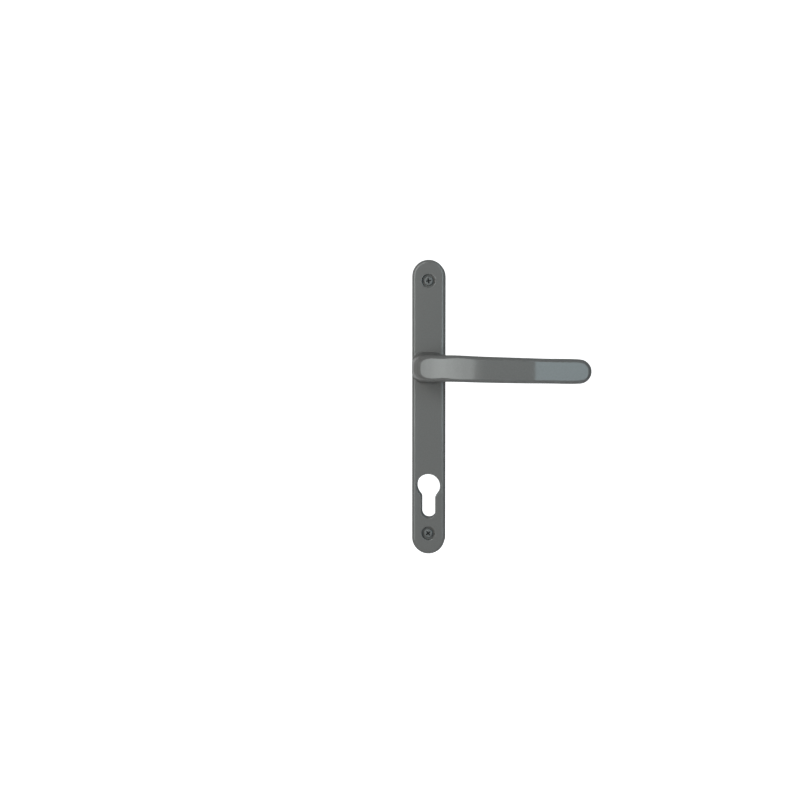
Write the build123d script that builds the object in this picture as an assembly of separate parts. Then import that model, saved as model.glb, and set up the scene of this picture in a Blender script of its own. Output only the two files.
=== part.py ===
from build123d import *
import os
from math import acos, atan2, cos, degrees, radians, sin, sqrt, tan

# Lever handle on a long narrow backplate, inner side of a door with a cylinder lock.
# Everything is drawn lying on its back: the door plane is XY, Y runs up the plate
# and Z comes out of the door. stand_up() turns it so that Z is up and -Y is the front.
# The origin is where the spindle's axis crosses the door plane. Millimetres.

# Backplate
PLATE_WIDTH = 25.4
PLATE_DEPTH = 11.0
TOP_MARGIN = 16.3
BOTTOM_MARGIN = 16.0
SIDE_WALL = 2.0
FRONT_WALL = 2.2
BEVEL = 1.25
FACE_SOFTNESS = 2.8
SIDE_SOFTNESS = 0.5
MOUTH_EDGE = 0.7
SAME_LEVEL = 0.01
RIB_THICKNESS = 1.6
RIB_SETBACK = 2.0
RIBS_ABOVE = 2
RIBS_BELOW = 3

# Cylinder lock opening, a round head over a narrower tail
LOCK_CENTRES = 92.0
LOCK_RADIUS = 9.1
LOCK_TAIL_WIDTH = 10.7
LOCK_HEIGHT = 34.4
LOCK_SHOULDER_DROP = 8.3
LOCK_SHOULDER_ROUND = 2.2
LOCK_WALL = 2.3

# Fixing screws and their sunk seats
FIXING_SPACING = 196.5
LOCK_TO_FIXING = 37.3
FIXING_RADIUS = 2.5
FIXING_SHANK_RADIUS = 2.2
FIXING_THREAD_START = 2.0
FIXING_LENGTH = 75.0
FIXING_CLEARANCE = 0.25
FIXING_HEAD_RADIUS = 3.35
FIXING_HEAD_HEIGHT = 2.5
FIXING_HEAD_ROUND = 0.7
SEAT_RADIUS = 5.1
SEAT_SINK = 3.4
SEAT_WALL = 1.6
RECESS_LENGTH = 4.0
RECESS_WIDTH = 1.0
RECESS_DEPTH = 2.0
RECESS_TAPER = 6.0
RECESS_TURNS = (10.0, 40.0)

# Spindle, its socket and the grub screw that holds it
SPINDLE_SQUARE = 8.0
SPINDLE_INSIDE = 32.0
SPINDLE_TAIL = 78.0
SPINDLE_CHAMFER = 0.8
SOCKET_CLEARANCE = 0.06
SOCKET_SPARE = 1.0
GRUB_RADIUS = 2.5
GRUB_SINK = 0.9
GRUB_DEPTH_STATION = 21.0
GRUB_SOCKET = 2.5
GRUB_CLEARANCE = 0.05

# Journal of the lever in its bush
JOURNAL_RADIUS = 6.5
JOURNAL_FLAT = 5.5
JOURNAL_SETBACK = 0.15
JOURNAL_ROOT = 1.0
RUNNING_CLEARANCE = 0.05
BUSH_WALL = 0.9
BUSH_FLANGE_INSET = 1.8
BUSH_FLANGE_SINK = 0.5
BUSH_PRESS = 0.01
COLLAR_WALL = 1.1
COLLAR_LENGTH = 4.1
NECK_GAP = 0.3

# Return spring, its fixed post and the driver that turns it
SPRING_WIRE = 1.3
SPRING_PITCH = 1.42
SPRING_TURNS = 2
SPRING_CLEARANCE = 0.25
SPRING_LEG_OUT = 2.2
POST_RADIUS = 1.4
POST_LENGTH = 2.0
LEG_CLEARANCE = 0.05
DRIVER_THICKNESS = 1.1
DRIVER_RADIUS = 9.4
DRIVER_LUG_GAP = 0.4
KEY_CLEARANCE = 0.04
AXIAL_CLEARANCE = 0.3

# Spring cover, its screws and the retaining ring behind it
COVER_THICKNESS = 1.0
COVER_SIDE_GAP = 0.3
COVER_HOLE_CLEARANCE = 0.4
COVER_SCREW_REACH = 15.8
COVER_SCREW_RADIUS = 1.2
COVER_SCREW_LENGTH = 5.0
COVER_SCREW_CLEARANCE = 0.02
COVER_HEAD_RADIUS = 2.3
COVER_HEAD_HEIGHT = 1.2
COVER_BOSS_WALL = 1.4
COVER_SLOT_WIDTH = 0.6
WASHER_THICKNESS = 0.4
WASHER_RADIUS = 8.6
CLIP_THICKNESS = 0.8
CLIP_GROOVE = 0.6
CLIP_WIDTH = 1.9
CLIP_OPENING = 60.0
CLIP_EAR_RADIUS = 1.2
CLIP_EAR_HOLE = 0.5
THRUST_CLEARANCE = 0.05

# Lever: a neck that rises from a wide foot and bends into a bowed, slightly drooping blade
FOOT_WIDTH = 25.5
FOOT_HEIGHT = 24.5
FOOT_ALLOWANCE = 2.0
NECK_WIDTH = 22.2
NECK_ROUND = 9.0
ELBOW_DEPTH = 30.0
ELBOW_INNER_RADIUS = 8.0
ELBOW_POWER = 2.7
ELBOW_CROWN = 6.6
LEVER_REACH = 123.3
LEVER_DEPTH = 51.0
BLADE_THICKNESS = 11.5
BLADE_ROOT_HEIGHT = 19.9
BLADE_TIP_HEIGHT = 18.1
BLADE_EDGE = 5.0
FACET_CUT = 0.65
FACET_SOFTNESS = 0.5
BLADE_BOW_RADIUS = 290.0
BLADE_BOW_CENTRE = 61.0
ROOT_DROOP = 1.9
TIP_DROOP = 0.5

# Places that follow from the sizes above
INNER_FACE = PLATE_DEPTH - FRONT_WALL
INNER_HALF = PLATE_WIDTH / 2 - SIDE_WALL
FIXING_BELOW = LOCK_CENTRES + LOCK_TO_FIXING
FIXING_ABOVE = FIXING_SPACING - FIXING_BELOW
PLATE_ABOVE = FIXING_ABOVE + TOP_MARGIN
PLATE_BELOW = FIXING_BELOW + BOTTOM_MARGIN
PLATE_LENGTH = PLATE_ABOVE + PLATE_BELOW
PLATE_MIDDLE = (PLATE_ABOVE - PLATE_BELOW) / 2
SEAT_FLOOR = PLATE_DEPTH - SEAT_SINK
SEAT_BOSS_RADIUS = SEAT_RADIUS + SEAT_WALL
FIXING_HEIGHTS = (FIXING_ABOVE, -FIXING_BELOW)
LOCK_TAIL_END = -LOCK_CENTRES + LOCK_RADIUS - LOCK_HEIGHT
NECK_BASE = PLATE_DEPTH + NECK_GAP
BUSH_BORE = JOURNAL_RADIUS + RUNNING_CLEARANCE
BUSH_RADIUS = BUSH_BORE + BUSH_WALL
COLLAR_BORE = BUSH_RADIUS + BUSH_PRESS
COLLAR_RADIUS = COLLAR_BORE + COLLAR_WALL
COLLAR_END = INNER_FACE - COLLAR_LENGTH
BUSH_FLANGE_RADIUS = FOOT_HEIGHT / 2 - BUSH_FLANGE_INSET
FLANGE_FLOOR = PLATE_DEPTH - BUSH_FLANGE_SINK
COIL_RADIUS = COLLAR_RADIUS + SPRING_CLEARANCE + SPRING_WIRE / 2
LEG_RADIUS = COIL_RADIUS + SPRING_LEG_OUT
LEG_ANGLE = degrees((POST_RADIUS + LEG_CLEARANCE + SPRING_WIRE / 2) / LEG_RADIUS)
COIL_FRONT = INNER_FACE - SPRING_CLEARANCE - SPRING_WIRE / 2
COIL_HEIGHT = (SPRING_TURNS - 2 * LEG_ANGLE / 360) * SPRING_PITCH
COIL_BACK = COIL_FRONT - COIL_HEIGHT
DRIVER_FRONT = COIL_BACK - SPRING_WIRE / 2 - AXIAL_CLEARANCE
DRIVER_BACK = DRIVER_FRONT - DRIVER_THICKNESS
LUG_END = INNER_FACE - POST_LENGTH - DRIVER_LUG_GAP
COVER_FRONT = DRIVER_BACK - AXIAL_CLEARANCE
COVER_BACK = COVER_FRONT - COVER_THICKNESS
WASHER_FRONT = COVER_BACK - THRUST_CLEARANCE
WASHER_BACK = WASHER_FRONT - WASHER_THICKNESS
CLIP_FRONT = WASHER_BACK - THRUST_CLEARANCE
CLIP_BACK = CLIP_FRONT - CLIP_THICKNESS
GROOVE_RADIUS = JOURNAL_RADIUS - CLIP_GROOVE
COVER_BOSS_RADIUS = COVER_SCREW_RADIUS + COVER_BOSS_WALL
SOCKET_SQUARE = SPINDLE_SQUARE + 2 * SOCKET_CLEARANCE
SOCKET_END = SPINDLE_INSIDE + SOCKET_SPARE
BOW_AXIS_DEPTH = LEVER_DEPTH - BLADE_BOW_RADIUS
ELBOW_CENTRE = NECK_WIDTH / 2 + ELBOW_INNER_RADIUS
TIP_CORNER_SHARE = 0.45
TIP_RADIUS = BLADE_TIP_HEIGHT / 2
TIP_CENTRE = LEVER_REACH - TIP_RADIUS


def stand_up(solid):
    """Turn a piece drawn on its back upright, front towards -Y."""
    return Plane.XZ * solid


def disc(radius, low, high, x=0.0, y=0.0):
    """Solid cylinder along Z between two depths."""
    return Pos(x, y, low) * extrude(Circle(radius), high - low)


def plate_outline(inset):
    """Round-ended outline of the plate, moved in by inset."""
    shape = SlotOverall(PLATE_LENGTH - 2 * inset, PLATE_WIDTH - 2 * inset, rotation=90)
    return Pos(0, PLATE_MIDDLE) * shape


def lock_outline():
    """Keyhole outline of the cylinder lock: head, shoulders tangent to it and round-ended tail."""
    half = LOCK_TAIL_WIDTH / 2
    corner = Vector(half, -LOCK_SHOULDER_DROP)
    swing = atan2(corner.Y, corner.X) + acos(LOCK_RADIUS / corner.length)
    head = Vector(cos(swing), sin(swing)) * LOCK_RADIUS
    tail_end = LOCK_TAIL_END + LOCK_CENTRES + half
    slope = (head - corner).normalized()
    opening = radians(slope.get_angle(Vector(0, -1)))
    cut_back = LOCK_SHOULDER_ROUND / tan(opening / 2)
    upper = corner + slope * cut_back
    lower = corner - Vector(0, cut_back)

    def mirrored(point):
        return Vector(-point.X, point.Y)

    edges = [
        ThreePointArc(mirrored(head), (0, LOCK_RADIUS), head),
        Line(head, upper),
        TangentArc(upper, lower, tangent=slope * -1),
        Line(lower, (half, tail_end)),
        ThreePointArc((half, tail_end), (0, tail_end - half), (-half, tail_end)),
        Line((-half, tail_end), mirrored(lower)),
        TangentArc(mirrored(lower), mirrored(upper), tangent=(0, 1)),
        Line(mirrored(upper), mirrored(head)),
    ]
    return Pos(0, -LOCK_CENTRES) * make_face(edges)


def plate_ribs():
    """Cross ribs behind the front wall, evenly spaced between the bosses."""
    spring_end = COVER_SCREW_REACH + COVER_BOSS_RADIUS
    upper = (spring_end, FIXING_ABOVE - SEAT_BOSS_RADIUS, RIBS_ABOVE)
    lower = (-spring_end, -LOCK_CENTRES + LOCK_RADIUS + LOCK_WALL, RIBS_BELOW)
    ribs = []
    for start, end, count in (upper, lower):
        for i in range(count):
            y = start + (end - start) * (i + 1) / (count + 1)
            web = Rectangle(2 * INNER_HALF + SIDE_WALL, RIB_THICKNESS)
            ribs.append(Pos(0, y, RIB_SETBACK) * extrude(web, INNER_FACE - RIB_SETBACK + FRONT_WALL / 2))
    return ribs


def backplate():
    """Hollow casting: bevelled front, screw seats, lock wall, bush collar and spring post."""
    body = extrude(plate_outline(0), PLATE_DEPTH)
    body = chamfer(body.faces().sort_by(Axis.Z)[-1].edges(), BEVEL)
    side_edges = body.edges().filter_by(lambda e: abs(e.center().Z - PLATE_DEPTH + BEVEL) < SAME_LEVEL)
    body = fillet(side_edges, SIDE_SOFTNESS)
    front_edges = body.faces().sort_by(Axis.Z)[-1].edges()
    body = fillet(front_edges, FACE_SOFTNESS)
    body -= extrude(plate_outline(SIDE_WALL), INNER_FACE)

    into_wall = INNER_FACE + FRONT_WALL / 2
    lock = lock_outline()
    inside = extrude(plate_outline(SIDE_WALL / 2), PLATE_DEPTH)
    body += extrude(offset(lock, LOCK_WALL), into_wall) & inside
    for y in FIXING_HEIGHTS:
        body += disc(SEAT_BOSS_RADIUS, 0, into_wall, y=y)
    for y in (COVER_SCREW_REACH, -COVER_SCREW_REACH):
        body += disc(COVER_BOSS_RADIUS, COVER_FRONT, into_wall, y=y)
    body += disc(COLLAR_RADIUS, COLLAR_END, into_wall)
    body += disc(POST_RADIUS, INNER_FACE - POST_LENGTH, into_wall, y=LEG_RADIUS)
    for rib in plate_ribs():
        body += rib

    body -= extrude(lock, PLATE_DEPTH)
    for y in FIXING_HEIGHTS:
        body -= disc(SEAT_RADIUS, SEAT_FLOOR, PLATE_DEPTH, y=y)
        body -= disc(FIXING_RADIUS + FIXING_CLEARANCE, 0, SEAT_FLOOR, y=y)
    for y in (COVER_SCREW_REACH, -COVER_SCREW_REACH):
        pilot = COVER_SCREW_RADIUS + COVER_SCREW_CLEARANCE
        body -= disc(pilot, COVER_FRONT, COVER_BACK + COVER_SCREW_LENGTH, y=y)
    mouths = body.faces().sort_by(Axis.Z)[-1].inner_wires()
    body = fillet([edge for mouth in mouths for edge in mouth.edges()], MOUTH_EDGE)
    body -= disc(COLLAR_BORE, COLLAR_END, PLATE_DEPTH)
    return body - disc(BUSH_FLANGE_RADIUS + BUSH_PRESS, FLANGE_FLOOR, PLATE_DEPTH)


def bearing_bush():
    """Flanged plastic bush pressed into the collar; the flange carries the neck."""
    bush = disc(BUSH_RADIUS, COLLAR_END, PLATE_DEPTH)
    bush += disc(BUSH_FLANGE_RADIUS, FLANGE_FLOOR, NECK_BASE - THRUST_CLEARANCE)
    return bush - disc(BUSH_BORE, COLLAR_END, NECK_BASE)


def return_spring():
    """Two-turn torsion spring round the collar, with a bent leg each side of the post."""
    coil_path = Helix(SPRING_PITCH, COIL_HEIGHT, COIL_RADIUS)
    coil = sweep(Plane(coil_path @ 0, z_dir=coil_path % 0) * Circle(SPRING_WIRE / 2), coil_path)
    coil = Pos(0, 0, COIL_BACK) * Rot(0, 0, 90 + LEG_ANGLE) * coil
    ends = ((LEG_ANGLE, COIL_BACK, COIL_FRONT), (-LEG_ANGLE, COIL_FRONT, COIL_BACK))
    for angle, start, end in ends:
        place = Rot(0, 0, 90 + angle)
        out = Edge.make_line((COIL_RADIUS, 0, start), (LEG_RADIUS, 0, start))
        along = Edge.make_line((LEG_RADIUS, 0, start), (LEG_RADIUS, 0, end))
        for run in (out, along):
            coil += place * sweep(Plane(run @ 0, z_dir=run % 0) * Circle(SPRING_WIRE / 2), run)
        for bend in (COIL_RADIUS, LEG_RADIUS):
            coil += place * Pos(bend, 0, start) * Sphere(SPRING_WIRE / 2)
    return coil


def double_flat(radius, flat, low, high):
    """Round bar or hole with two opposite flats."""
    return disc(radius, low, high) & Pos(0, 0, low) * extrude(
        Rectangle(2 * flat, 3 * radius), high - low)


def spring_driver():
    """Keyed washer on the journal, with a bent-up lug between the spring's legs."""
    half_lug = POST_RADIUS
    lug_in = LEG_RADIUS - SPRING_WIRE / 2
    lug_out = LEG_RADIUS + SPRING_WIRE / 2
    driver = disc(DRIVER_RADIUS, DRIVER_BACK, DRIVER_FRONT)
    arm = Pos(0, lug_out / 2) * Rectangle(2 * half_lug, lug_out)
    driver += Pos(0, 0, DRIVER_BACK) * extrude(arm, DRIVER_THICKNESS)
    lug = Pos(0, (lug_in + lug_out) / 2) * Rectangle(2 * half_lug, lug_out - lug_in)
    driver += Pos(0, 0, DRIVER_BACK) * extrude(lug, LUG_END - DRIVER_BACK)
    return driver - double_flat(
        JOURNAL_RADIUS + KEY_CLEARANCE, JOURNAL_FLAT + KEY_CLEARANCE, DRIVER_BACK, DRIVER_FRONT)


def spring_cover():
    """Pressed plate over the spring, held by two small screws."""
    width = 2 * (INNER_HALF - COVER_SIDE_GAP)
    length = 2 * (COVER_SCREW_REACH + COVER_BOSS_RADIUS)
    sheet = RectangleRounded(width, length, COVER_BOSS_RADIUS)
    sheet -= Circle(JOURNAL_RADIUS + COVER_HOLE_CLEARANCE)
    for y in (COVER_SCREW_REACH, -COVER_SCREW_REACH):
        sheet -= Pos(0, y) * Circle(COVER_SCREW_RADIUS + COVER_SCREW_CLEARANCE)
    return Pos(0, 0, COVER_BACK) * extrude(sheet, COVER_THICKNESS)


def cover_screws():
    """Two pan-head screws that hold the spring cover to its bosses."""
    screws = []
    for y in (COVER_SCREW_REACH, -COVER_SCREW_REACH):
        head = disc(COVER_HEAD_RADIUS, COVER_BACK - COVER_HEAD_HEIGHT, COVER_BACK)
        head = fillet(head.edges().sort_by(Axis.Z)[0], COVER_HEAD_HEIGHT / 2)
        slot = Box(2 * COVER_HEAD_RADIUS, COVER_SLOT_WIDTH, COVER_HEAD_HEIGHT)
        slot = Pos(0, 0, COVER_BACK - COVER_HEAD_HEIGHT) * slot
        shank = disc(COVER_SCREW_RADIUS, COVER_BACK, COVER_BACK + COVER_SCREW_LENGTH)
        screws.append(Pos(0, y, 0) * (head - slot + shank))
    return Part() + screws


def thrust_washer():
    """Plain washer between the spring cover and the retaining ring."""
    ring = disc(WASHER_RADIUS, WASHER_BACK, WASHER_FRONT)
    return ring - disc(JOURNAL_RADIUS + RUNNING_CLEARANCE, WASHER_BACK, WASHER_FRONT)


def retaining_ring():
    """Open spring ring in the journal's groove, with two plier ears."""
    inner = GROOVE_RADIUS + KEY_CLEARANCE
    outer = inner + CLIP_WIDTH
    half = radians(CLIP_OPENING / 2)
    far = 2 * outer
    wedge = make_face(Polyline(
        (0, 0), (-far * sin(half), -far * cos(half)), (far * sin(half), -far * cos(half)), close=True,
    ))
    ring = Circle(outer) - Circle(inner) - wedge
    ear_angle = half + CLIP_EAR_RADIUS / outer
    ear_centre = outer - CLIP_EAR_RADIUS / 2
    ears = [
        Pos(side * ear_centre * sin(ear_angle), -ear_centre * cos(ear_angle)) for side in (-1, 1)
    ]
    for place in ears:
        ring += place * Circle(CLIP_EAR_RADIUS)
    for place in ears:
        ring -= place * Circle(CLIP_EAR_HOLE)
    ring -= Circle(inner)
    return Pos(0, 0, CLIP_BACK) * extrude(ring, CLIP_THICKNESS)


def blade_front(x):
    """Depth of the bowed front face at x."""
    return BOW_AXIS_DEPTH + sqrt(BLADE_BOW_RADIUS ** 2 - (x - BLADE_BOW_CENTRE) ** 2)


def blade_height(x):
    """Height of the blade at x, tapering from root to tip and rounded off at the end."""
    share = (x - ELBOW_CENTRE) / (TIP_CENTRE - ELBOW_CENTRE)
    if share <= 1:
        return BLADE_ROOT_HEIGHT + (BLADE_TIP_HEIGHT - BLADE_ROOT_HEIGHT) * share
    return 2 * sqrt(TIP_RADIUS ** 2 - (x - TIP_CENTRE) ** 2)


def blade_drop(x):
    """How far the blade's middle hangs below the spindle's axis at x, levelling off to the tip."""
    out = x - ELBOW_CENTRE
    levelling = (tan(radians(ROOT_DROOP)) - tan(radians(TIP_DROOP))) / (LEVER_REACH - ELBOW_CENTRE)
    return tan(radians(ROOT_DROOP)) * out - levelling * out ** 2 / 2


def reach_to_bow(turn, radius):
    """Distance from the elbow's centre along a ray to a cylinder round the bow's axis."""
    away = Vector(ELBOW_CENTRE - BLADE_BOW_CENTRE, ELBOW_DEPTH - BOW_AXIS_DEPTH)
    along = away.dot(Vector(-cos(turn), sin(turn)))
    return sqrt(along ** 2 - away.length ** 2 + radius ** 2) - along


def lever_section(centre, angle, thickness, height, corner):
    """Rounded section through the lever; angle 0 lies flat, 90 stands across the blade."""
    turn = radians(angle)
    plane = Plane(
        origin=centre,
        x_dir=(-cos(turn), 0, sin(turn)),
        z_dir=(-sin(turn), 0, -cos(turn)),
    )
    return plane * RectangleRounded(thickness, height, corner)


def neck_flare(depth):
    """Share of the foot's spread that is left at a depth: 1 at the foot, 0 at the elbow."""
    return ((ELBOW_DEPTH - depth) / (ELBOW_DEPTH - NECK_BASE)) ** 2


def neck_height(depth):
    """Height of the neck at a depth."""
    return BLADE_ROOT_HEIGHT + (FOOT_HEIGHT - BLADE_ROOT_HEIGHT) * neck_flare(depth)


def neck_section(depth):
    """Section across the neck at a depth."""
    width = NECK_WIDTH + (FOOT_WIDTH - NECK_WIDTH) * neck_flare(depth)
    return lever_section((0, 0, depth), 0, width, neck_height(depth), NECK_ROUND)


def elbow_section(angle, height, corner):
    """Section on a ray from the elbow's centre, between its inner and outer profiles."""
    turn = radians(angle)
    to_side = (ELBOW_CENTRE + NECK_WIDTH / 2) / cos(turn)
    crown = FACET_CUT + ELBOW_CROWN * cos(turn) ** 3
    to_front = reach_to_bow(turn, BLADE_BOW_RADIUS + crown)
    outer = (to_side ** -ELBOW_POWER + to_front ** -ELBOW_POWER) ** (-1 / ELBOW_POWER)
    to_neck = ELBOW_INNER_RADIUS / cos(turn)
    to_back = reach_to_bow(turn, BLADE_BOW_RADIUS - BLADE_THICKNESS)
    inner = (to_neck ** -2 + to_back ** -2) ** (-1 / 2)
    middle = (inner + outer) / 2
    centre = (ELBOW_CENTRE - middle * cos(turn), 0, ELBOW_DEPTH + middle * sin(turn))
    return lever_section(centre, angle, outer - inner, height, corner)


def blade_section(x):
    """Section across the blade at x, closing to a rounded tip."""
    past = max(0.0, (x - TIP_CENTRE) / TIP_RADIUS)
    thinning = BLADE_EDGE * (1 - sqrt(1 - past ** 4))
    thickness = BLADE_THICKNESS + FACET_CUT
    middle = blade_front(x) + FACET_CUT - thickness / 2
    height = blade_height(x)
    corner = min(BLADE_EDGE, TIP_CORNER_SHARE * height, TIP_CORNER_SHARE * (thickness - 2 * thinning))
    return lever_section((x, -blade_drop(x), middle), 90, thickness - 2 * thinning, height, corner)


def lever_body():
    """One smooth casting lofted from below the neck's foot through the elbow to the blade's tip,
    cut square at the foot, with a bowed facet cut along its front."""
    neck_steps = 4
    elbow_steps = 8
    neck_step = (ELBOW_DEPTH - NECK_BASE) / neck_steps
    sections = [neck_section(NECK_BASE - FOOT_ALLOWANCE)]
    sections += [neck_section(NECK_BASE + neck_step * i) for i in range(neck_steps)]
    for i in range(elbow_steps):
        corner = NECK_ROUND + (BLADE_EDGE - NECK_ROUND) * i / elbow_steps
        sections.append(elbow_section(90 * i / elbow_steps, BLADE_ROOT_HEIGHT, corner))
    blade_steps = 5
    for i in range(blade_steps):
        sections.append(blade_section(ELBOW_CENTRE + (TIP_CENTRE - ELBOW_CENTRE) * i / blade_steps))
    for angle in (0, 14, 28, 42, 55, 66, 75, 82):
        sections.append(blade_section(TIP_CENTRE + TIP_RADIUS * sin(radians(angle))))
    bow = Plane(origin=(BLADE_BOW_CENTRE, -FOOT_HEIGHT, BOW_AXIS_DEPTH), z_dir=(0, 1, 0))
    body = split(loft(sections), Plane.XY.offset(NECK_BASE))
    body &= bow * extrude(Circle(BLADE_BOW_RADIUS), 2 * FOOT_HEIGHT)
    facet = body.faces().filter_by(GeomType.CYLINDER).sort_by(SortBy.AREA)[-1]
    return fillet(facet.edges(), FACET_SOFTNESS)


def lever():
    """Lever casting with its journal, keyed end, ring groove, square socket and grub hole."""
    body = lever_body()
    body += disc(JOURNAL_RADIUS, DRIVER_FRONT, NECK_BASE + JOURNAL_ROOT)
    body += double_flat(JOURNAL_RADIUS, JOURNAL_FLAT, JOURNAL_SETBACK, DRIVER_FRONT)
    groove = disc(2 * JOURNAL_RADIUS, CLIP_BACK - KEY_CLEARANCE, CLIP_FRONT + KEY_CLEARANCE)
    body -= groove - disc(GROOVE_RADIUS, CLIP_BACK - KEY_CLEARANCE, CLIP_FRONT + KEY_CLEARANCE)
    body -= extrude(Rectangle(SOCKET_SQUARE, SOCKET_SQUARE), SOCKET_END)
    tunnel = Plane(origin=(0, 0, GRUB_DEPTH_STATION), z_dir=(0, -1, 0)) * Circle(GRUB_RADIUS + GRUB_CLEARANCE)
    return body - extrude(tunnel, FOOT_HEIGHT)


def spindle():
    """Square bar from the lever's socket through the door to the lock case."""
    bar = Pos(0, 0, -SPINDLE_TAIL) * extrude(
        Rectangle(SPINDLE_SQUARE, SPINDLE_SQUARE), SPINDLE_TAIL + SPINDLE_INSIDE)
    ends = [bar.faces().sort_by(Axis.Z)[i].edges() for i in (0, -1)]
    return chamfer(list(ends[0]) + list(ends[1]), SPINDLE_CHAMFER)


def grub_screw():
    """Headless screw in the neck's underside, its tip against the spindle."""
    tip = SPINDLE_SQUARE / 2 + GRUB_CLEARANCE
    length = neck_height(GRUB_DEPTH_STATION) / 2 - GRUB_SINK - tip
    place = Plane(origin=(0, -tip, GRUB_DEPTH_STATION), z_dir=(0, -1, 0))
    screw = extrude(Circle(GRUB_RADIUS), length)
    screw = chamfer(screw.edges().group_by(Axis.Z)[0], GRUB_RADIUS / 4)
    drive = Pos(0, 0, length / 2) * extrude(RegularPolygon(GRUB_SOCKET / 2, 6), length / 2)
    return place * (screw - drive)


def cross_recess():
    """Tapered cross for a screwdriver, its mouth at depth 0."""
    blades = Rectangle(RECESS_LENGTH, RECESS_WIDTH) + Rectangle(RECESS_WIDTH, RECESS_LENGTH)
    return extrude(blades, -RECESS_DEPTH, taper=RECESS_TAPER)


def fixing_screws():
    """Two machine screws: heads on the sunk seats, a plain shank in the plate, threads in the door."""
    screws = []
    for y, turn in zip(FIXING_HEIGHTS, RECESS_TURNS):
        head = disc(FIXING_HEAD_RADIUS, SEAT_FLOOR, SEAT_FLOOR + FIXING_HEAD_HEIGHT)
        head = fillet(head.edges().sort_by(Axis.Z)[-1], FIXING_HEAD_ROUND)
        shank = disc(FIXING_SHANK_RADIUS, -FIXING_THREAD_START, SEAT_FLOOR)
        thread = disc(FIXING_RADIUS, SEAT_FLOOR - FIXING_LENGTH, -FIXING_THREAD_START)
        thread = chamfer(thread.edges().group_by(Axis.Z)[0], FIXING_RADIUS / 3)
        recess = Pos(0, 0, SEAT_FLOOR + FIXING_HEAD_HEIGHT) * Rot(0, 0, turn) * cross_recess()
        screws.append(Pos(0, y, 0) * (head + shank + thread - recess))
    return Part() + screws


PIECES = {
    "backplate": backplate,
    "bearing_bush": bearing_bush,
    "return_spring": return_spring,
    "spring_driver": spring_driver,
    "spring_cover": spring_cover,
    "cover_screws": cover_screws,
    "thrust_washer": thrust_washer,
    "retaining_ring": retaining_ring,
    "lever": lever,
    "spindle": spindle,
    "grub_screw": grub_screw,
    "fixing_screws": fixing_screws,
}

os.makedirs("parts", exist_ok=True)
for name, make in PIECES.items():
    export_step(stand_up(make()), f"parts/{name}.step")
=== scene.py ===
import math

import bmesh
import bpy
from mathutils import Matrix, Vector


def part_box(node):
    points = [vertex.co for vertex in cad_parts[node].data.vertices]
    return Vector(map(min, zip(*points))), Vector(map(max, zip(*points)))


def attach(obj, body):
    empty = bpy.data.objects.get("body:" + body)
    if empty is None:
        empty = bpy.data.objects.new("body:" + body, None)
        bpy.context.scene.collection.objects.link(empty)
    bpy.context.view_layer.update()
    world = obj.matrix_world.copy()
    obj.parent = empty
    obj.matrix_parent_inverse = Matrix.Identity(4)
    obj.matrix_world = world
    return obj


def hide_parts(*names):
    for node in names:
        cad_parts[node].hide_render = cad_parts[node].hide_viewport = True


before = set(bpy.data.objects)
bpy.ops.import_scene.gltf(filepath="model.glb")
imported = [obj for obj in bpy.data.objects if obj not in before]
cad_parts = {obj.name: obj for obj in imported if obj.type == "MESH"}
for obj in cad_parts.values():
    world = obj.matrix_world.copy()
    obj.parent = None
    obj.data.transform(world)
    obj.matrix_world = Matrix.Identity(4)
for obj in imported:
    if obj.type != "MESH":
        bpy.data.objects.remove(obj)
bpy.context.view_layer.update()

# Everything is in metres, in the frame of the model: Z up the plate, -Y to the front,
# +X along the lever, origin where the spindle's axis crosses the door plane.

# Photograph: image size in pixels, and where the handle lies in it
IMAGE_SIZE = 800
PIXELS_PER_METRE = 1285.0
SPINDLE_PIXEL = (428.35, 367.7)
PLATE_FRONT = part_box("backplate")[0][1]

# Camera: in front of the plate, a little to the right of the spindle and above it
CAMERA_DISTANCE = 0.90
CAMERA_RIGHT = 0.065
CAMERA_UP = 0.016
SENSOR_MILLIMETRES = 36.0

# Rotations of an area light that shines at the door, to the front and to the right
TO_DOOR = (math.pi / 2, 0, 0)
TO_FRONT = (-math.pi / 2, 0, 0)
TO_RIGHT = (math.pi / 2, 0, -math.pi / 2)

# Softboxes left and right of the camera. A row is its lower edge, its upper edge and its
# share of the radiance. The edges divide each row into strips with a radiance of their own.
BOX_PLANE = -0.93
BOX_ROWS = ((-0.34, -0.14, 0.6), (-0.14, 0.62, 1.0))
LEFT_COLOUR = (0.93, 0.98, 0.965)
LEFT_EDGES = (-0.70, -0.48, -0.43, -0.40, -0.32, -0.27,
              -0.22, -0.158, -0.140, -0.122, -0.104, -0.086)
LEFT_RADIANCES = (4.9, 5.8, 6.8, 7.5, 6.8, 5.8, 4.9, 3.9, 1.9, 0.9, 0.5)
RIGHT_COLOUR = (0.757, 1.0, 1.096)
RIGHT_EDGES = (0.225, 0.62)
RIGHT_RADIANCES = (4.1,)

# Other lights, and the paper around the handle, which glows by its lift
CARD = {"at": (-0.80, 0.50, 0.0), "size": (0.90, 0.90), "radiance": 0.32}
BACK_PANEL = {"at": (0.0, 1.7, 0.1), "size": (1.8, 1.8), "radiance": 2.0}
COOL_WHITE = (0.94, 1.0, 1.03)
WORLD_GREY = (0.22, 0.22, 0.22)
FLOOR = {"x": (-5.0, 5.0), "y": (-5.0, 5.0), "z": -1.10, "lift": 0.0}
WALL = {"x": (-1.20, 0.80), "y": 1.8, "z": (-1.10, 0.90), "lift": 0.85}

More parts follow.
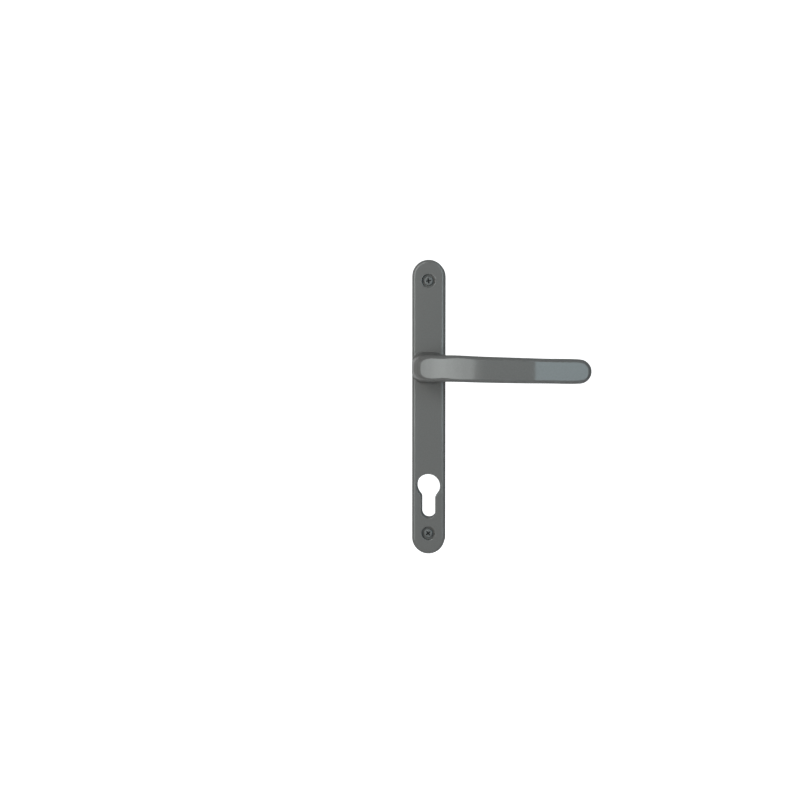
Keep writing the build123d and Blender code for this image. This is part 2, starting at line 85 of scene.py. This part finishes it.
# Thread of the fixing screws, M5, behind the plate. The profile is one pitch, as pairs of a
# share of the pitch and a radius. The shank ends just ahead of the thread, whose core starts
# inside the shank.
THREAD_START = 0.002
THREAD_PITCH = 0.0008
THREAD_CREST = 0.00249
THREAD_ROOT = 0.00202
THREAD_TIP = 0.00167
THREAD_STEPS = 20
THREAD_PROFILE = (
    (0.0, THREAD_ROOT), (0.25, THREAD_ROOT), (0.5625, THREAD_CREST), (0.6875, THREAD_CREST))
SHANK_END = THREAD_START - 0.0001
CORE_START = THREAD_START - 0.0002
SHARP_ANGLE = math.radians(30)

# Head of the fixing screws, and the tolerance by which its faces are told apart
HEAD_HEIGHT = 0.0025
RECESS_REACH = 0.0021
DEPTH_TOLERANCE = 0.0001

# Plate: a face is a wall if its normal's share to the front or back is less than the slope.
# The walls of the lock opening lie within this box and face its middle.
WALL_SLOPE = 0.15
OPENING = {"x": 0.0093, "z": (-0.120, -0.082), "middle": -0.100}

# Surfaces
NOISE_RANGE = (0.3, 0.7)  # holds most values of a noise texture
COAT_IOR = 1.36
PLASTIC_IOR = 1.46
CASTING_PEEL = 8.0e-6  # depth of the coat's orange peel
SCREW_PEEL = 2.0e-6
FINE_GRAIN_SHARE = 0.12  # depth of the coat's fine grain, as a share of the peel's
PLATING_ROUGHNESS = 0.30
SPRING_ROUGHNESS = 0.34
LINES_ALONG_Y = (1.0, 0.02, 1.0)  # scale of the grain along the axes
NO_LINES = (1.0, 1.0, 1.0)

# Colours, linear
COAT = (0.130, 0.1235, 0.119)
DRY_COAT = (0.132, 0.133, 0.132)
# Painted reflection: a lighter colour on the walls of the lock opening, in place of the bright
# wall that they mirror.
OPENING_PAINTED_REFLECTION = (0.27, 0.265, 0.26)
SCREW_PAINT = (0.128, 0.127, 0.125)
BUSH_BLACK = (0.030, 0.030, 0.032)
# Painted shade: the dark colour of the cross recesses in the screw heads.
RECESS_PAINTED_SHADE = (0.050, 0.050, 0.051)
SPRING_STEEL = (0.22, 0.22, 0.23)
ZINC = (0.62, 0.63, 0.64)
PAPER_WHITE = (0.88, 0.88, 0.88)


def shaded(colour, factor):
    """A colour made lighter or darker, with full alpha."""
    return tuple(channel * factor for channel in colour) + (1.0,)


class Surface:
    """A material with one principled shader and helpers for its textures."""

    def __init__(self, name):
        self.material = bpy.data.materials.new(name)
        self.material.use_nodes = True
        self.nodes = self.material.node_tree.nodes
        self.links = self.material.node_tree.links
        self.shader = self.nodes["Principled BSDF"]
        self.place = self.nodes.new("ShaderNodeTexCoord").outputs["Object"]

    def constant(self, **values):
        """Set sockets of the shader by name, with _ for a space."""
        for name, value in values.items():
            self.shader.inputs[name.replace("_", " ")].default_value = value

    def feed(self, name, value):
        """Link a texture to a socket of the shader."""
        self.links.new(value, self.shader.inputs[name])

    def scaled_place(self, scale):
        """Object coordinates scaled axis by axis."""
        mapping = self.nodes.new("ShaderNodeMapping")
        mapping.inputs["Scale"].default_value = scale
        self.links.new(self.place, mapping.inputs["Vector"])
        return mapping.outputs["Vector"]

    def noise(self, grain, detail=2.0, roughness=0.5, place=None):
        """Noise whose grains are about this many metres across."""
        node = self.nodes.new("ShaderNodeTexNoise")
        node.inputs["Scale"].default_value = 1.0 / grain
        node.inputs["Detail"].default_value = detail
        node.inputs["Roughness"].default_value = roughness
        self.links.new(place or self.place, node.inputs["Vector"])
        return node.outputs["Fac"]

    def spread(self, value, low, high, source=NOISE_RANGE):
        """Map the source range of a texture onto low to high."""
        node = self.nodes.new("ShaderNodeMapRange")
        node.inputs["From Min"].default_value, node.inputs["From Max"].default_value = source
        node.inputs["To Min"].default_value = low
        node.inputs["To Max"].default_value = high
        self.links.new(value, node.inputs["Value"])
        return node.outputs["Result"]

    def tint(self, value, colour, dark, light):
        """A colour times dark to light by a texture."""
        ramp = self.nodes.new("ShaderNodeValToRGB")
        for stop, position, factor in zip(ramp.color_ramp.elements, NOISE_RANGE, (dark, light)):
            stop.position = position
            stop.color = shaded(colour, factor)
        self.links.new(value, ramp.inputs["Fac"])
        return ramp.outputs["Color"]

    def bump(self, height, depth, below=None):
        """Relief of this depth in metres, on top of another relief."""
        node = self.nodes.new("ShaderNodeBump")
        node.inputs["Strength"].default_value = 1.0
        node.inputs["Distance"].default_value = depth
        self.links.new(height, node.inputs["Height"])
        if below:
            self.links.new(below, node.inputs["Normal"])
        return node.outputs["Normal"]

    def greater(self, first, second):
        """The greater of two values."""
        node = self.nodes.new("ShaderNodeMath")
        node.operation = "MAXIMUM"
        self.links.new(first, node.inputs[0])
        self.links.new(second, node.inputs[1])
        return node.outputs[0]

    def frontality(self):
        """How squarely the surface faces front or back, from 0 to 1."""
        normal = self.nodes.new("ShaderNodeNewGeometry").outputs["True Normal"]
        shares = self.nodes.new("ShaderNodeSeparateXYZ")
        self.links.new(normal, shares.inputs[0])
        size = self.nodes.new("ShaderNodeMath")
        size.operation = "ABSOLUTE"
        self.links.new(shares.outputs["Y"], size.inputs[0])
        return size.outputs[0]


def powder_coat(name, colour, peel):
    """Glossy coat with faint mottling, fine grain and orange peel of this depth.

    It was sprayed from the front and back, so it is drier towards the sides.
    """
    coat = Surface(name)
    coat.constant(Metallic=0.0, IOR=COAT_IOR)
    mottle = coat.noise(grain=0.0011, detail=3.0, roughness=0.65)
    coat.feed("Base Color", coat.tint(mottle, colour, dark=0.95, light=1.05))
    gloss = coat.spread(coat.noise(grain=0.006), low=0.045, high=0.075)
    dryness = coat.spread(coat.frontality(), low=0.45, high=0.0, source=(0.35, 0.97))
    coat.feed("Roughness", coat.greater(gloss, dryness))
    fine = coat.bump(coat.noise(grain=0.0006), depth=peel * FINE_GRAIN_SHARE)
    coat.feed("Normal", coat.bump(coat.noise(grain=0.0042), depth=peel, below=fine))
    return coat.material


def dry_coat(name, colour):
    """Matt coat without reflection and with a dusty grain, its colour 0.7 to 0.9 times the given
    one. It covers walls that the spray hardly reached, and it also carries the painted shade in
    the screw recesses and the painted reflection on the walls of the lock opening.
    """
    coat = Surface(name)
    coat.constant(Metallic=0.0, Specular_IOR_Level=0.0)
    dust = coat.noise(grain=0.0008, detail=4.0, roughness=0.7)
    coat.feed("Base Color", coat.tint(dust, colour, dark=0.7, light=0.9))
    coat.feed("Roughness", coat.spread(dust, low=0.6, high=0.8))
    coat.feed("Normal", coat.bump(dust, depth=2e-5))
    return coat.material


def moulded_plastic(name, colour):
    """Matt moulded plastic with a fine spark-eroded grain."""
    plastic = Surface(name)
    plastic.constant(Metallic=0.0, IOR=PLASTIC_IOR)
    cloud = plastic.noise(grain=0.002)
    plastic.feed("Base Color", plastic.tint(cloud, colour, dark=0.9, light=1.1))
    plastic.feed("Roughness", plastic.spread(plastic.noise(grain=0.003), low=0.45, high=0.6))
    plastic.feed("Normal", plastic.bump(plastic.noise(grain=0.0003), depth=6e-6))
    return plastic.material


def drawn_steel(name, colour, rough, scale):
    """Bare metal with a cloudy sheen and a fine grain, which the scale draws out into lines."""
    steel = Surface(name)
    steel.constant(Metallic=1.0)
    lines = steel.noise(grain=0.00025, detail=3.0, place=steel.scaled_place(scale))
    cloud = steel.noise(grain=0.006, detail=3.0)
    steel.feed("Base Color", steel.tint(cloud, colour, dark=0.9, light=1.06))
    steel.feed("Roughness", steel.spread(lines, low=rough * 0.8, high=rough * 1.25))
    steel.feed("Normal", steel.bump(lines, depth=4e-6))
    return steel.material


def dress(node, material):
    """Give a node of the model one material."""
    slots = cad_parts[node].data.materials
    slots.clear()
    slots.append(material)


def lines_opening(face):
    """Whether a wall of the plate faces into the lock opening."""
    x, _, z = face.center
    low, high = OPENING["z"]
    inward = face.normal.z * (OPENING["middle"] - z) - face.normal.x * x
    return abs(x) < OPENING["x"] and low < z < high and inward > 0


def coat_plate(gloss, dry, opening_reflection):
    """Gloss on the plate's front and edges, dry coat on its walls, and a lighter matt colour on
    the walls of the lock opening as a painted reflection.
    """
    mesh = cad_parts["backplate"].data
    mesh.materials.clear()
    for material in (gloss, dry, opening_reflection):
        mesh.materials.append(material)
    dry_slot, reflection_slot = 1, 2
    for face in mesh.polygons:
        if abs(face.normal.y) < WALL_SLOPE:
            face.material_index = reflection_slot if lines_opening(face) else dry_slot


def on_circle(radius, y, step):
    """Point on a circle about the Y axis, this many steps round."""
    angle = 2 * math.pi * step / THREAD_STEPS
    return radius * math.cos(angle), y, radius * math.sin(angle)


def thread_strip(end_y):
    """Vertices and faces of a helical thread about the Y axis that runs out at both ends."""
    turns = (end_y - THREAD_START) / THREAD_PITCH - 1
    steps = int(turns * THREAD_STEPS)
    points = []
    for step in range(steps + 1):
        for share, radius in THREAD_PROFILE:
            pitches = step / THREAD_STEPS + share
            y = THREAD_START + THREAD_PITCH * pitches
            run_in = THREAD_ROOT + (THREAD_CREST - THREAD_ROOT) * pitches
            run_out = THREAD_TIP + end_y - y
            points.append(on_circle(min(radius, run_in, run_out), y, step))
    width = len(THREAD_PROFILE)
    faces = []
    for step in range(steps):
        for column in range(width):
            here = step * width + column
            there = here + width
            if column + 1 < width:
                faces.append((here, here + 1, there + 1, there))
            elif step + 1 + THREAD_STEPS <= steps:
                next_turn = (step + THREAD_STEPS) * width
                faces.append((here, next_turn, next_turn + width, there))
    return points, faces


def thread_core(end_y):
    """Vertices and faces of the closed rod under the thread, chamfered at its tip."""
    chamfer_y = end_y - THREAD_ROOT + THREAD_TIP
    stations = ((CORE_START, THREAD_ROOT), (chamfer_y, THREAD_ROOT), (end_y, THREAD_TIP))
    points = []
    rings = []
    for y, radius in stations:
        rings.append(range(len(points), len(points) + THREAD_STEPS))
        points += [on_circle(radius, y, step) for step in range(THREAD_STEPS)]
    faces = [tuple(rings[0]), tuple(reversed(rings[-1]))]
    for near, far in zip(rings, rings[1:]):
        for step in range(THREAD_STEPS):
            ahead = (step + 1) % THREAD_STEPS
            faces.append((near[step], far[step], far[ahead], near[ahead]))
    return points, faces


def cut_shanks(shape):
    """Cut the plain ends off the screws and close the shanks."""
    cut = bmesh.ops.bisect_plane(
        shape, geom=shape.verts[:] + shape.edges[:] + shape.faces[:],
        plane_co=(0, SHANK_END, 0), plane_no=(0, 1, 0), clear_outer=True)
    rims = [edge for edge in cut["geom_cut"] if isinstance(edge, bmesh.types.BMEdge)]
    bmesh.ops.holes_fill(shape, edges=rims)


def add_thread(shape, axis_z, end_y):
    """Add a threaded end about the axis at this height."""
    for points, faces in (thread_core(end_y), thread_strip(end_y)):
        verts = [shape.verts.new((x, y, z + axis_z)) for x, y, z in points]
        for face in faces:
            shape.faces.new([verts[i] for i in face])


def sort_screw_faces(shape, front_y, axes):
    """Paint on the heads, plating on shanks and threads, and a dark colour in the recesses as
    painted shade.
    """
    plating_slot, recess_shade_slot = 1, 2
    for face in shape.faces:
        middle = face.calc_center_median()
        off_axis = min(math.hypot(middle.x, middle.z - axis_z) for axis_z in axes)
        if middle.y > front_y + HEAD_HEIGHT - DEPTH_TOLERANCE:
            face.material_index = plating_slot
        elif middle.y > front_y + DEPTH_TOLERANCE and off_axis < RECESS_REACH:
            face.material_index = recess_shade_slot
        face.smooth = True


def threaded_screws(paint, plating, recess_shade):
    """The fixing screws with cut threads in place of their plain ends."""
    low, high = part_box("fixing_screws")
    head_radius = (high[0] - low[0]) / 2
    axes = (low[2] + head_radius, high[2] - head_radius)
    shape = bmesh.new()
    shape.from_mesh(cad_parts["fixing_screws"].data)
    cut_shanks(shape)
    for axis_z in axes:
        add_thread(shape, axis_z, high[1])
    shape.normal_update()
    sort_screw_faces(shape, low[1], axes)
    mesh = bpy.data.meshes.new("threaded_screws")
    shape.to_mesh(mesh)
    shape.free()
    mesh.set_sharp_from_angle(angle=SHARP_ANGLE)
    for material in (paint, plating, recess_shade):
        mesh.materials.append(material)
    piece = bpy.data.objects.new("threaded_screws", mesh)
    bpy.context.collection.objects.link(piece)
    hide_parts("fixing_screws")
    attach(piece, "frame")


def paper_material(name, lift):
    """Pale matt paper that glows by the lift where the camera or a reflection sees it."""
    paper = Surface(name)
    paper.constant(Roughness=0.9, Emission_Color=(1.0, 1.0, 1.0, 1.0))
    cloud = paper.noise(grain=0.05)
    paper.feed("Base Color", paper.tint(cloud, PAPER_WHITE, dark=0.99, light=1.0))
    path = paper.nodes.new("ShaderNodeLightPath")
    rays = path.outputs["Is Camera Ray"]
    for other in ("Is Glossy Ray", "Is Transmission Ray"):
        rays = paper.greater(rays, path.outputs[other])
    paper.feed("Emission Strength", paper.spread(rays, low=0.0, high=lift, source=(0.0, 1.0)))
    return paper.material


def paper_sheet(name, corners, lift):
    """One flat sheet of paper, not part of the object."""
    mesh = bpy.data.meshes.new(name)
    mesh.from_pydata(corners, [], [tuple(range(len(corners)))])
    mesh.materials.append(paper_material(name, lift))
    sheet = bpy.data.objects.new(name, mesh)
    bpy.context.collection.objects.link(sheet)


def floor_and_wall():
    """Pale floor below the handle, and a white wall behind it that fills the picture."""
    (x0, x1), (y0, y1), z = FLOOR["x"], FLOOR["y"], FLOOR["z"]
    paper_sheet("floor", [(x0, y0, z), (x1, y0, z), (x1, y1, z), (x0, y1, z)], FLOOR["lift"])
    (x0, x1), y, (z0, z1) = WALL["x"], WALL["y"], WALL["z"]
    paper_sheet("wall", [(x0, y, z0), (x1, y, z0), (x1, y, z1), (x0, y, z1)], WALL["lift"])


def area_light(name, radiance, size, location, rotation, colour):
    """Rectangular area light of this radiance and size, width first."""
    light = bpy.data.lights.new(name, "AREA")
    light.shape = "RECTANGLE"
    light.size, light.size_y = size
    light.energy = radiance * math.pi * size[0] * size[1]
    light.color = colour
    lamp = bpy.data.objects.new(name, light)
    lamp.location = location
    lamp.rotation_euler = rotation
    bpy.context.collection.objects.link(lamp)
    return lamp


def softbox(name, edges, radiances, colour):
    """Upright softbox beside the camera, facing the door, in rows of strips."""
    for z0, z1, share in BOX_ROWS:
        for number, (x0, x1, radiance) in enumerate(zip(edges, edges[1:], radiances)):
            middle = ((x0 + x1) / 2, BOX_PLANE, (z0 + z1) / 2)
            area_light(
                f"{name}_{number}", radiance * share, (x1 - x0, z1 - z0), middle, TO_DOOR, colour)


def card():
    """Weak reflector to the left and behind, facing right, for the left-hand edges."""
    area_light("card", CARD["radiance"], CARD["size"], CARD["at"], TO_RIGHT, COOL_WHITE)


def back_panel():
    """Soft light on the back of the handle, left out of reflections."""
    lamp = area_light(
        "back_panel", BACK_PANEL["radiance"], BACK_PANEL["size"], BACK_PANEL["at"],
        TO_FRONT, COOL_WHITE)
    lamp.visible_glossy = False


def surroundings():
    """Even grey room light from everywhere."""
    world = bpy.data.worlds.new("room")
    world.use_nodes = True
    background = world.node_tree.nodes["Background"]
    background.inputs["Color"].default_value = shaded(WORLD_GREY, 1.0)
    background.inputs["Strength"].default_value = 1.0
    bpy.context.scene.world = world


def place_camera():
    """Camera aimed so that the spindle falls on its pixel, at the photograph's scale."""
    middle = IMAGE_SIZE / 2
    aim = Vector((
        (middle - SPINDLE_PIXEL[0]) / PIXELS_PER_METRE,
        PLATE_FRONT,
        (SPINDLE_PIXEL[1] - middle) / PIXELS_PER_METRE,
    ))
    eye = Vector((CAMERA_RIGHT, PLATE_FRONT - CAMERA_DISTANCE, CAMERA_UP))
    lens = bpy.data.cameras.new("camera")
    lens.sensor_width = SENSOR_MILLIMETRES
    lens.lens = PIXELS_PER_METRE * (aim - eye).length / IMAGE_SIZE * SENSOR_MILLIMETRES
    camera = bpy.data.objects.new("camera", lens)
    camera.location = eye
    camera.rotation_euler = (aim - eye).to_track_quat("-Z", "Y").to_euler()
    bpy.context.collection.objects.link(camera)
    bpy.context.scene.camera = camera


coat = powder_coat("coated_casting", COAT, CASTING_PEEL)
zinc = drawn_steel("plated_steel", ZINC, PLATING_ROUGHNESS, LINES_ALONG_Y)
spring = drawn_steel("spring_steel", SPRING_STEEL, SPRING_ROUGHNESS, NO_LINES)
# Lighter matt colour on the walls of the lock opening: painted reflection.
coat_plate(coat, dry_coat("dry_casting", DRY_COAT), dry_coat("opening_painted_reflection", OPENING_PAINTED_REFLECTION))
dress("lever", coat)
screw_paint = powder_coat("coated_screw", SCREW_PAINT, SCREW_PEEL)
# Dark matt colour in the screw recesses: painted shade.
threaded_screws(screw_paint, zinc, dry_coat("screw_recess_painted_shade", RECESS_PAINTED_SHADE))
dress("bearing_bush", moulded_plastic("bush_plastic", BUSH_BLACK))
for node in ("return_spring", "retaining_ring", "grub_screw"):
    dress(node, spring)
for node in ("spring_driver", "spring_cover", "cover_screws", "thrust_washer", "spindle"):
    dress(node, zinc)

floor_and_wall()
softbox("left_softbox", LEFT_EDGES, LEFT_RADIANCES, LEFT_COLOUR)
softbox("right_softbox", RIGHT_EDGES, RIGHT_RADIANCES, RIGHT_COLOUR)
card()
back_panel()
surroundings()
place_camera()
bpy.context.scene.view_settings.view_transform = "Standard"
